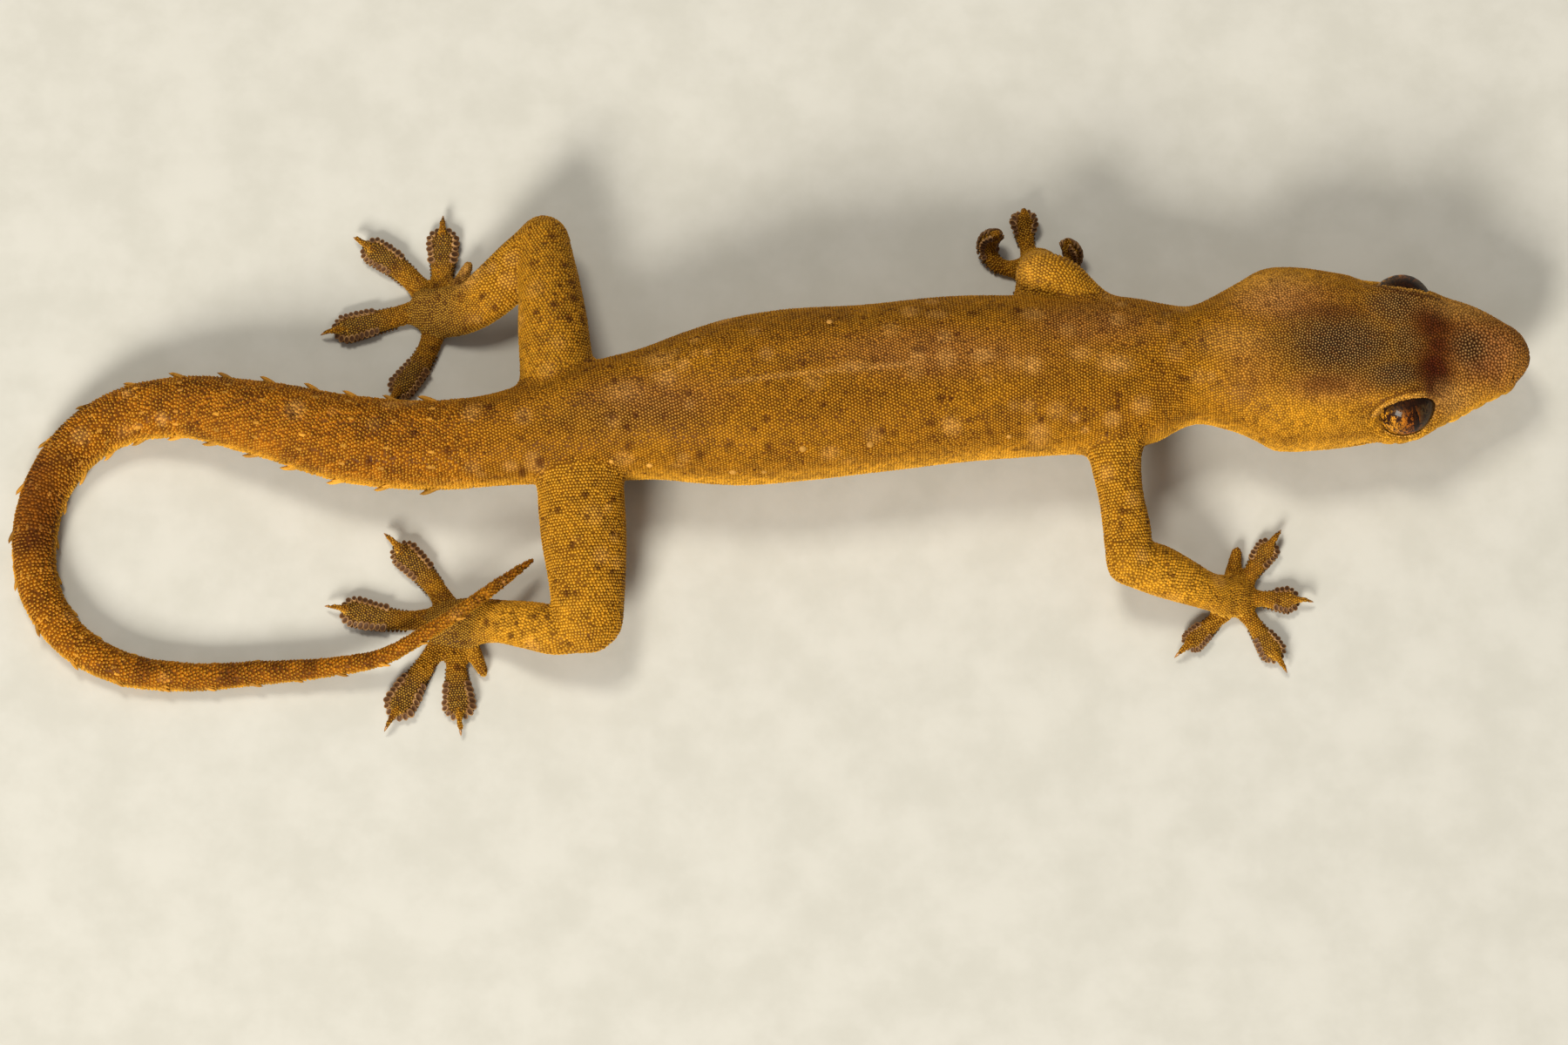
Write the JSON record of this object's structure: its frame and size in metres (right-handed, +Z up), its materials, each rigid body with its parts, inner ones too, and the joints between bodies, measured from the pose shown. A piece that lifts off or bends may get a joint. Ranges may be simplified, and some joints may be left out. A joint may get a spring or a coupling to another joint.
{
  "type": "house gecko",
  "caption": "Life-size still model of a house gecko standing on the floor with its head forward and its tail curled round behind one hind foot.",
  "frame": {"origin": "on the floor, under the middle of the gecko's box", "axes": "+X towards the snout, +Y towards the gecko's left, +Z up from the floor"},
  "size_m": [0.0847, 0.0302, 0.0081],
  "materials": {
    "body_skin": "dry granular scales, ochre orange with brown specks",
    "tail_skin": "dry overlapping scales in rings with pale orange spines",
    "limb_skin": "dry granular scales, brown ochre with dark spots",
    "foot_skin": "soft grey-brown toe pads with pale edges",
    "eye": "clear gloss over a golden iris with a slit pupil"
  },
  "bodies": {
    "root": {"head": "body_skin", "neck": "body_skin", "torso": "body_skin", "hips": "body_skin", "tail_1": "tail_skin", "tail_2": "tail_skin", "tail_3": "tail_skin", "tail_4": "tail_skin", "tail_5": "tail_skin", "tail_6": "tail_skin", "tail_7": "tail_skin", "tail_8": "tail_skin", "thigh_left": "limb_skin", "thigh_right": "limb_skin", "shin_left": "limb_skin", "shin_right": "limb_skin", "upper_arm_left": "limb_skin", "upper_arm_right": "limb_skin", "forearm_left": "limb_skin", "forearm_right": "limb_skin", "hindfoot_left": "foot_skin", "hindfoot_right": "foot_skin", "forefoot_left": "foot_skin", "forefoot_right": "foot_skin", "eye_left": "eye", "eye_right": "eye"}
  },
  "joints": []
}
